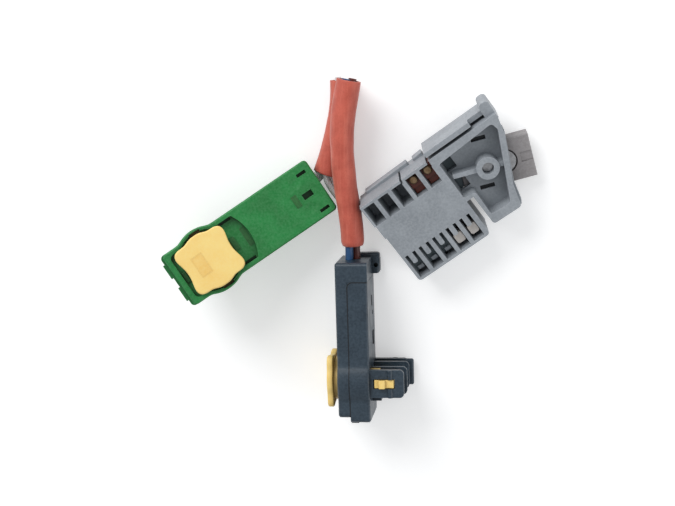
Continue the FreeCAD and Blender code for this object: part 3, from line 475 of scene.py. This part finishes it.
def insulation(name, dark, base):
    """Smooth lead insulation, with faint streaks along the lead and finger marks."""
    s = Shader(name)
    streak = s.fit(s.noise(1.0, 3.0, 0.5, s.stretched((2200, 120, 2200))), 0.35, 0.68)
    colour = s.mix(streak, dark, base)
    roughness = s.fit(s.noise(500), 0.3, 0.7, INSULATION_ROUGH - 0.05, INSULATION_ROUGH + 0.12)
    normal = s.bump(s.noise(2600, 2.0), 0.06, 0.00004)
    return s.finish(colour, roughness, normal)


def sleeving(name):
    """Soft red-orange sleeving: chalky streaks along it, painted shade in creases and hollows, a matte skin with a
    slight sheen.
    """
    s = Shader(name)
    cloud = s.fit(s.noise(170, 4.0, 0.6), 0.34, 0.68)
    colour = s.mix(cloud, srgb(182, 78, 60), srgb(208, 98, 78))
    streak = s.noise(1.0, 4.0, 0.6, s.stretched((1100, 70, 1100)))
    colour = s.mix(s.fit(streak, 0.46, 0.74, 0.0, 0.5), colour, srgb(224, 122, 100))
    speck = s.fit(s.noise(2600, 2.0, 0.6), 0.52, 0.78, 0.0, 0.35)
    colour = s.mix(speck, colour, srgb(160, 60, 46))
    # Painted shade: creases and narrow hollows darken towards a deep red
    shade = s.fit(s.hollows(SLEEVE_HOLLOW), 0.2, 0.8)
    colour = s.mix(shade, srgb(104, 34, 26), colour)
    roughness = s.fit(s.noise(600), 0.3, 0.7, 0.46, 0.62)
    weave = s.math("MULTIPLY", s.noise(1.0, 2.0, 0.5, s.stretched((2600, 420, 2600))), 0.7)
    height = s.math("ADD", weave, s.noise(3200, 2.0))
    normal = s.bump(height, 0.22, 0.00006)
    return s.finish(colour, roughness, normal, Sheen_Weight=0.25, Sheen_Roughness=0.5)


def build_materials():
    materials = {}
    for name, (dark, base, light, *rest) in PLASTICS.items():
        materials[name] = moulded_plastic(name, srgb(*dark), srgb(*base), srgb(*light), *rest)
    for name, values in METALS.items():
        materials[name] = metal(name, *values)
    materials["sleeve_rubber"] = sleeving("sleeve_rubber")
    for name, (dark, base) in INSULATIONS.items():
        materials[name] = insulation(name, srgb(*dark), srgb(*base))
    return materials


def weigh_normals(piece):
    smooth = piece.modifiers.new("smooth", "WEIGHTED_NORMAL")
    smooth.keep_sharp = True


def round_edges(piece, width, steps):
    edge = piece.modifiers.new("edge", "BEVEL")
    edge.width = width
    edge.segments = steps
    edge.limit_method = "ANGLE"
    edge.angle_limit = math.radians(SHARP_ANGLE)
    weigh_normals(piece)


def shade_smooth(mesh):
    for polygon in mesh.polygons:
        polygon.use_smooth = True


def dress_node(name, material):
    """Gives a CAD node its material, welded smooth faces and a small rounded edge."""
    node = frame["nodes"][name]
    node.data.materials.clear()
    node.data.materials.append(material)
    weld = node.modifiers.new("weld", "WELD")
    weld.merge_threshold = WELD_GAP
    flat = node.modifiers.new("flat", "DECIMATE")
    flat.decimate_type = "DISSOLVE"
    flat.angle_limit = math.radians(FLAT_ANGLE)
    shade_smooth(node.data)
    round_edges(node, BEVEL.get(name, SMALL_BEVEL), CAD_BEVEL_STEPS)


def slot_of(name):
    return next(s["material_slot"] for s in frame["record"]["subparts"] if s["node"] == name)


def add_object(name, mesh, material):
    piece = bpy.data.objects.new(name, mesh)
    mesh.materials.append(material)
    link(piece)
    return piece


def finished_mesh(name, mesh):
    """A mesh datablock with its faces turned outwards."""
    bmesh.ops.recalc_face_normals(mesh, faces=mesh.faces)
    data = bpy.data.meshes.new(name)
    mesh.to_mesh(data)
    mesh.free()
    return data


def nurbs(name, points, radius):
    """One open NURBS line with the route's points as its control points."""
    data = bpy.data.curves.new(name, "CURVE")
    data.dimensions = "3D"
    spline = data.splines.new("NURBS")
    spline.points.add(len(points) - 1)
    for point, place in zip(spline.points, points):
        point.co = (*place, 1.0)
    spline.order_u = 3
    spline.use_endpoint_u = True
    data.resolution_u = 12
    data.bevel_depth = radius
    data.bevel_resolution = 6
    data.use_fill_caps = True
    return bpy.data.objects.new(name, data)


def line_of(points):
    """The points that a route's NURBS line passes through."""
    bare = nurbs("bare_route", points, 0.0)
    mesh = bpy.data.meshes.new_from_object(bare)
    line = [v.co.copy() for v in mesh.vertices]
    bpy.data.meshes.remove(mesh)
    bpy.data.objects.remove(bare)
    return line


def length_of(line):
    return sum((b - a).length for a, b in zip(line, line[1:]))


def cord_lead(name, points, diameter, material):
    lead = nurbs(name + "_line", points, diameter / 2)
    link(lead)
    lead.data.materials.append(material)
    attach(lead, "root")
    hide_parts(name)
    return lead


def ring_frames(line):
    """Each point of a line with two directions across it, turned as little as can be."""
    frames = []
    across = None
    for i, here in enumerate(line):
        along = (line[min(i + 1, len(line) - 1)] - line[max(i - 1, 0)]).normalized()
        if across is None:
            across = along.orthogonal().normalized()
        across = (across - along * across.dot(along)).normalized()
        frames.append((here, across, along.cross(across)))
    return frames


def resampled(line, step):
    """The same line with its points spread evenly."""
    total = length_of(line)
    count = max(2, round(total / step))
    found = [line[0]]
    travelled = 0.0
    wanted = total / count
    for a, b in zip(line, line[1:]):
        run = (b - a).length
        while travelled + run >= wanted * len(found) - 1e-9 and len(found) < count:
            found.append(a.lerp(b, (wanted * len(found) - travelled) / run))
        travelled += run
    found.append(line[-1])
    return found


def sleeve_mesh(name, line, radius_at):
    """An open tube with a wall: outer skin, inner skin and the two cut ends."""
    mesh = bmesh.new()
    frames = ring_frames(line)
    total = length_of(line)
    skins = []
    for inset in (0.0, SLEEVE_WALL):
        rings = []
        travelled = 0.0
        for i, (here, a, b) in enumerate(frames):
            if i:
                travelled += (line[i] - line[i - 1]).length
            ring = []
            for k in range(SLEEVE_SIDES):
                angle = 2 * math.pi * k / SLEEVE_SIDES
                radius = radius_at(travelled / total, angle) - inset
                ring.append(mesh.verts.new(here + (a * math.cos(angle) + b * math.sin(angle)) * radius))
            rings.append(ring)
        skins.append(rings)
    outer, inner = skins
    for k in range(SLEEVE_SIDES):
        n = (k + 1) % SLEEVE_SIDES
        for i in range(len(line) - 1):
            mesh.faces.new((outer[i][k], outer[i][n], outer[i + 1][n], outer[i + 1][k]))
            mesh.faces.new((inner[i][n], inner[i][k], inner[i + 1][k], inner[i + 1][n]))
        for end in (0, -1):
            mesh.faces.new((outer[end][k], inner[end][k], inner[end][n], outer[end][n]))
    data = finished_mesh(name, mesh)
    shade_smooth(data)
    return data


def hump(share, at, width):
    """1 at one place along a sleeve, fading out on both sides."""
    return math.exp(-((share - at) / width) ** 2)


def past(share, start, run):
    """0 up to the start, then 1 more over each run."""
    return max(0.0, (share - start) / run)


def sleeve_1_radius(share, angle):
    """Nearly round, a little pinched above the middle and lipped at its mouth."""
    pinch = -0.05 * hump(share, 0.42, 0.06)
    swell = 0.035 * hump(share, 0.12, 0.1) - 0.02 * hump(share, 0.3, 0.05)
    slim = -0.055 * min(1.0, past(share, 0.35, 0.3))
    lip = -0.10 * past(share, 0.965, 0.035) ** 2
    oval = 0.025 * math.cos(2 * angle + 2.2 * share)
    ripple = 0.008 * math.sin(5 * angle + 16 * share) * math.sin(23 * share + 1.3)
    return SLEEVE_D / 2 * (1 + pinch + swell + slim + lip + oval + ripple)


def sleeve_2_radius(share, angle):
    """Nearly round and 1 % slim, with a flared mouth."""
    flare = 0.03 * past(share, 0.75, 0.25) ** 2
    oval = 0.03 * math.cos(2 * angle + 1.0)
    ripple = 0.008 * math.sin(4 * angle + 11 * share) * math.sin(17 * share)
    return SLEEVE_D / 2 * (1 + flare + oval + ripple - 0.01)


def bore_points(axes, wire_end, bore):
    """The last two points of a lead, straight into its bore."""
    x, z = bore
    return [axes.at(x, wire_end + LEAD_STRAIGHT, z), axes.at(x, wire_end - BORE_DEPTH, z)]


def build_leads(materials):
    """The two sleeves and the six leads."""
    leads = {}
    for name, slot, side, bore in (
        ("blue_lead", "blue_insulation", 1, NAVY_BORES[1]),
        ("brown_lead", "brown_insulation", -1, NAVY_BORES[0]),
    ):
        route = laid(NAVY_LEAD_TAIL + SLEEVE_1[1:-1], NAVY_LEAD_OFFSET * side)
        route += bore_points(NAVY, NAVY_WIRE_END, bore)
        leads[name] = (cord_lead(name, route, NAVY_LEAD_D, materials[slot]), route, NAVY_LEAD_D)
    up = Vector((0, 0, WHITE_OFFSET))
    across = WHITE_ACROSS * WHITE_OFFSET
    foot = [[GREY.at(x, y, FOOT_HOLE_Z) for x in FOOT_LEAD] for y in FOOT_HOLES_Y]
    plans = {
        "white_lead_1": (-across, bore_points(GREEN, GREEN_WIRE_END, GREEN_BORES[0])),
        "white_lead_2": (-up, bore_points(GREEN, GREEN_WIRE_END, GREEN_BORES[1])),
        "white_lead_3": (up, laid(WHITE_3_FREE) + foot[0]),
        "white_lead_4": (across, laid(WHITE_4_FREE) + foot[1]),
    }
    slot = "white_insulation"
    for name, (offset, end) in plans.items():
        route = laid(WHITE_TAIL + SLEEVE_2[1:-1], offset) + end
        leads[name] = (cord_lead(name, route, WHITE_LEAD_D, materials[slot]), route, WHITE_LEAD_D)
    lines = {}
    sleeves = {}
    for name, points, radius_at in (
        ("sleeve_navy", SLEEVE_1, sleeve_1_radius), ("sleeve_green", SLEEVE_2, sleeve_2_radius),
    ):
        lines[name] = resampled(line_of(laid(points)), SLEEVE_STEP)
        mesh = sleeve_mesh(name + "_skin", lines[name], radius_at)
        sleeves[name] = add_object(name + "_skin", mesh, materials["sleeve_rubber"])
        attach(sleeves[name], "root")
        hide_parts(name)
    for name, (lead, route, diameter) in leads.items():
        length_of(line_of(route))


def make_floor():
    """A plain pale floor that keeps the shadow, and reads as white where nothing shades it."""
    s = Shader("floor")
    shader = s.add("ShaderNodeBsdfPrincipled")
    shader.inputs["Base Color"].default_value = FLOOR_COLOUR
    shader.inputs["Roughness"].default_value = 0.9
    shader.inputs["Specular IOR Level"].default_value = 0.0
    glow = s.add("ShaderNodeEmission")
    path = s.add("ShaderNodeLightPath")
    glow.inputs["Color"].default_value = (1, 1, 1, 1)
    seen = s.math("MAXIMUM", path.outputs["Is Camera Ray"], path.outputs["Is Glossy Ray"])
    seen = s.math("MAXIMUM", seen, path.outputs["Is Transmission Ray"])
    s.put(glow.inputs["Strength"], s.math("MULTIPLY", seen, FLOOR_GLOW))
    total = s.add("ShaderNodeAddShader")
    s.tree.links.new(shader.outputs["BSDF"], total.inputs[0])
    s.tree.links.new(glow.outputs["Emission"], total.inputs[1])
    s.tree.links.new(total.outputs["Shader"], s.out.inputs["Surface"])
    data = bpy.data.meshes.new("floor")
    data.from_pydata(rectangle((-FLOOR_HALF, FLOOR_HALF), (-FLOOR_HALF, FLOOR_HALF), 0), [], [(0, 1, 2, 3)])
    data.materials.append(s.material)
    floor = bpy.data.objects.new("floor", data)
    floor.location.z = -FLOOR_DROP
    link(floor)


def make_lights():
    """Soft light from all round, a soft key lamp and a weak fill."""
    world = bpy.data.worlds.new("world")
    world.use_nodes = True
    back = world.node_tree.nodes["Background"]
    back.inputs["Color"].default_value = WORLD_COLOUR
    back.inputs["Strength"].default_value = WORLD_STRENGTH
    bpy.context.scene.world = world
    for name, place, size, watts in LAMPS:
        data = bpy.data.lights.new(name, "AREA")
        data.shape = "DISK"
        data.size = size
        data.energy = watts
        lamp = bpy.data.objects.new(name, data)
        lamp.location = place
        lamp.rotation_mode = "QUATERNION"
        lamp.rotation_quaternion = (-Vector(place)).to_track_quat("-Z", "Y")
        link(lamp)


def solid_piece(name, axes, rings, material, bevel=0.0, body="root"):
    """A closed form from rings of points in a connector's own axes, each ring joined to the next."""
    mesh = bmesh.new()
    loops = [[mesh.verts.new(axes.at(*p)) for p in ring] for ring in rings]
    count = len(loops[0])
    for low, high in zip(loops, loops[1:]):
        for k in range(count):
            n = (k + 1) % count
            mesh.faces.new((low[k], low[n], high[n], high[k]))
    mesh.faces.new(loops[0][::-1])
    mesh.faces.new(loops[-1])
    piece = add_object(name, finished_mesh(name, mesh), material)
    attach(piece, body)
    if bevel:
        round_edges(piece, bevel * MM, TRIM_BEVEL_STEPS)
    return piece


def rectangle(x, y, z):
    return [(x[0], y[0], z), (x[1], y[0], z), (x[1], y[1], z), (x[0], y[1], z)]


def ring(radius_at, z, sides):
    """A closed ring round a connector's own z axis."""
    angles = [2 * math.pi * i / sides for i in range(sides)]
    return [(radius_at(a) * math.cos(a), radius_at(a) * math.sin(a), z) for a in angles]


def block(name, axes, material, slot, x, y, z, bevel=0.0):
    """A block, with where it starts and ends along each axis."""
    solid_piece(name, axes, [rectangle(x, y, z[0]), rectangle(x, y, z[1])], material, bevel)


def plate(name, axes, material, slot, x, y, z, rim=0.16, root=0.1, rise=0.14, floor=0.06, body="root"):
    """A low plain plate with a raised rim on a face at z, left blank."""
    inner = [(low + rim, high - rim) for low, high in (x, y)]
    rings = [
        rectangle(x, y, z - root), rectangle(x, y, z + rise),
        rectangle(*inner, z + rise), rectangle(*inner, z + floor),
    ]
    return solid_piece(name, axes, rings, material, body=body)


def knob_radius(angle):
    """The knob's outline, fitted to the photographed one; opposite lobes are alike."""
    return sum(c * math.cos(2 * k * angle) for k, c in enumerate(KNOB_OUTLINE))


def build_knob(name, axes, materials, size):
    """The soft-edged yellow knob with its hub and the plain sunk field on its face, whose darker yellow is painted
    shade.
    """
    def knob_ring(grow, z):
        return ring(lambda angle: size * knob_radius(angle) + grow, z, KNOB_SIDES)

    slot = "yellow_plastic"
    body = name + "_lock"
    rings = [
        knob_ring(-KNOB_UNDER_INSET, KNOB_UNDER), knob_ring(-KNOB_UNDER_EDGE, KNOB_UNDER),
        knob_ring(0.0, KNOB_UNDER + KNOB_UNDER_EDGE),
    ]
    for i in range(ROUND_STEPS + 1):
        turn = math.pi / 2 * i / ROUND_STEPS
        grow = KNOB_ROUND * (math.cos(turn) - 1)
        rings.append(knob_ring(grow, KNOB_TOP - KNOB_ROUND + KNOB_ROUND * math.sin(turn)))
    rings.append(knob_ring(-KNOB_CROWN_INSET, KNOB_TOP + KNOB_CROWN))
    cap = solid_piece(name + "_knob", axes, rings, materials[slot], body=body)
    shade_smooth(cap.data)
    weigh_normals(cap)
    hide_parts(name + "_lock_knob")
    hub = [ring(lambda angle: HUB_R, z, HUB_SIDES) for z in HUB_Z]
    post = solid_piece(name + "_knob_hub", axes, hub, materials[slot], bevel=0.2, body=body)
    # The field's darker yellow is painted shade
    field = plate(
        name + "_knob_field", axes, materials["yellow_relief"], slot, *KNOB_FIELD, KNOB_TOP + KNOB_CROWN,
        rim=0.22, root=0.3, rise=0.07, floor=0.01, body=body,
    )
    post.parent = cap
    field.parent = cap


def side_x(y):
    """Half the width of a plug's shells at y, with the bulge at the lock axis."""
    if abs(y) <= BULGE_END:
        return math.sqrt(BULGE_R ** 2 - y ** 2)
    if abs(y) < BLEND_END:
        return PLUG_HALF_W + BLEND_R - math.sqrt(BLEND_R ** 2 - (abs(y) - BLEND_END) ** 2)
    return PLUG_HALF_W


def seam_path(wire_end, lock_end):
    """The line between cover and rear housing on a plug's side, with its rounded upper corner."""
    end = wire_end - SEAM_FROM_WIRE_END
    path = [(end, SEAM_BACK_Z), (end, -SEAM_CORNER)]
    for i in range(1, SEAM_CORNER_STEPS + 1):
        turn = math.pi / 2 * i / SEAM_CORNER_STEPS
        path.append((end - SEAM_CORNER * (1 - math.cos(turn)), -SEAM_CORNER * (1 - math.sin(turn)) + SEAM_Z))
    start = end - SEAM_CORNER
    for i in range(1, SEAM_STEPS + 1):
        path.append((start - (start + lock_end - SEAM_FROM_LOCK_END) * i / SEAM_STEPS, SEAM_Z))
    return path


def build_seam(name, axes, wire_end, lock_end, material):
    path = seam_path(wire_end, lock_end)
    for side, tag in ((-1, "left"), (1, "right")):
        rings = []
        for i, (y, z) in enumerate(path):
            before, after = path[max(i - 1, 0)], path[min(i + 1, len(path) - 1)]
            run = Vector((after[0] - before[0], after[1] - before[1])).normalized()
            dy, dz = -run.y * SEAM_HALF_W, run.x * SEAM_HALF_W
            x_out, x_in = side * (side_x(y) + SEAM_PROUD), side * (side_x(y) - SEAM_SUNK)
            rings.append([
                (x_in, y - dy, z - dz), (x_out, y - dy, z - dz),
                (x_out, y + dy, z + dz), (x_in, y + dy, z + dz),
            ])
        solid_piece(name + "_seam_" + tag, axes, rings, material)


def build_plug_details(materials):
    """Knobs, bare labels, pads in the wells, slots on the flanks, seams, and the navy plug's own trim. Labels and
    pads take a darker copy of their plastic as painted shade, the flank slots hold olive blocks of painted shade,
    and the rear slots are dark blocks of painted shade.
    """
    for name, axes, wire_end, lock_end, knob_size, seam in (
        ("green", GREEN, GREEN_WIRE_END, GREEN_LOCK_END, GREEN_KNOB_SIZE, "green_plastic"),
        ("navy", NAVY, NAVY_WIRE_END, NAVY_LOCK_END, NAVY_KNOB_SIZE, "seam_and_shade_plastic"),
    ):
        slot = name + "_plastic"
        shaded_relief = materials[name + "_relief"]
        build_knob(name, axes, materials, knob_size)
        # Labels and pads in a darker copy of the plastic: painted shade
        plate(name + "_well_label", axes, shaded_relief, slot, *WELL_LABEL)
        block(name + "_well_pad", axes, shaded_relief, slot, *WELL_PAD, bevel=0.1)
        block(name + "_well_pad_low", axes, shaded_relief, slot, *WELL_PAD_LOW, bevel=0.1)
        label_y = [wire_end - distance for distance in COVER_LABEL_FROM_END]
        plate(name + "_cover_label", axes, shaded_relief, slot, COVER_LABEL_X, label_y, COVER_FACE)
        # Olive blocks in the flank slots: painted shade
        block(name + "_flank_left", axes, materials["olive_painted_shade"], slot, *FLANK_LEFT)
        block(name + "_flank_right", axes, materials["olive_painted_shade"], slot, *FLANK_RIGHT)
        build_seam(name, axes, wire_end, lock_end, materials[seam])
    slot = "navy_plastic"
    plastic = materials[slot]
    dark = materials["seam_and_shade_plastic"]
    # Dark blocks for the rear slots: painted shade
    block("navy_rear_slot", NAVY, dark, slot, *REAR_SLOT)
    block("navy_rear_slot_low", NAVY, dark, slot, *REAR_SLOT_LOW)
    plate("navy_rear_label", NAVY, dark, slot, *REAR_LABEL)
    block("navy_end_rim", NAVY, plastic, slot, *END_RIM, bevel=0.8)
    block("navy_nose_tip", NAVY, plastic, slot, *NOSE_TIP, bevel=0.6)
    slot = "yellow_plastic"
    block("navy_strip", NAVY, materials[slot], slot, *NOSE_STRIP, bevel=0.1)


def build_block_details(materials):
    """The grey block's lip and flange step, darker floors of painted shade in its windows and ways, dark blocks of
    painted shade in its slots, a ramp in each empty way, and the brown steps.
    """
    slot = "grey_plastic"
    plastic = materials[slot]
    shade = materials["painted_shade_plastic"]
    back, left, right = LIP_Y
    for tag, x0, x1 in LIPS:
        rings = [
            [(x0, back, z), (x1, back, z), (x1, right + out, z), (x0, left + out, z)] for z, out in LIP_LEAN
        ]
        solid_piece("grey_lip_" + tag, GREY, rings, plastic, bevel=0.2)
    rings = [[(x, y, z) for x, y in FLANGE_STEP] for z in FLANGE_STEP_Z]
    solid_piece("grey_flange_step", GREY, rings, plastic, bevel=0.25)
    # Floors in the windows: painted shade
    for number, y in enumerate(WINDOWS_Y, 1):
        block("grey_window_floor_%d" % number, GREY, shade, slot, WINDOW_X, y, WINDOW_FLOOR_Z)
    turn = math.radians(POCKET_SLOT_TURN)
    along = Vector((math.cos(turn), math.sin(turn))) * POCKET_SLOT_HALF[0]
    across = Vector((-math.sin(turn), math.cos(turn))) * POCKET_SLOT_HALF[1]
    # Dark blocks in the pocket's slots: painted shade
    for number, centre in enumerate(POCKET_SLOTS, 1):
        corners = [Vector(centre) + along * a + across * b for a, b in ((-1, -1), (1, -1), (1, 1), (-1, 1))]
        rings = [[(*corner, z) for corner in corners] for z in POCKET_SLOT_Z]
        solid_piece("grey_slot_floor_%d" % number, GREY, rings, materials["seam_and_shade_plastic"])
    # Way floors: painted shade
    for number, way in enumerate(EMPTY_LOW_WAYS, 1):
        x0 = LOW_X0 + LOW_PITCH * way
        x = (x0 + WAY_FLOOR_GAP, x0 + LOW_W - WAY_FLOOR_GAP)
        block("grey_way_floor_%d" % number, GREY, shade, slot, x, WAY_FLOOR_Y, WAY_FLOOR_Z)
        x = (x0 + WAY_RAMP_GAP, x0 + LOW_W - WAY_RAMP_GAP)
        block("grey_way_ramp_%d" % number, GREY, plastic, slot, x, WAY_RAMP_Y, WAY_RAMP_Z, bevel=0.2)
    slot = "brown_plastic"
    for number, way in enumerate(BROWN_WAYS, 1):
        x0 = TOP_X0 + TOP_PITCH * way
        x = (x0 + BROWN_STEP_GAP, x0 + CELL_W - BROWN_STEP_GAP)
        name = "brown_step_%d" % number
        block(name, GREY, materials[slot], slot, x, BROWN_STEP_Y, BROWN_STEP_Z, bevel=0.25)


def main():
    materials = build_materials()
    make_camera()
    make_floor()
    make_lights()
    for name in frame["nodes"]:
        if name not in REDRAWN:
            dress_node(name, materials[slot_of(name)])
    build_plug_details(materials)
    build_block_details(materials)
    build_leads(materials)
    bpy.context.scene.view_settings.view_transform = "Standard"


main()
bpy.context.view_layer.update()
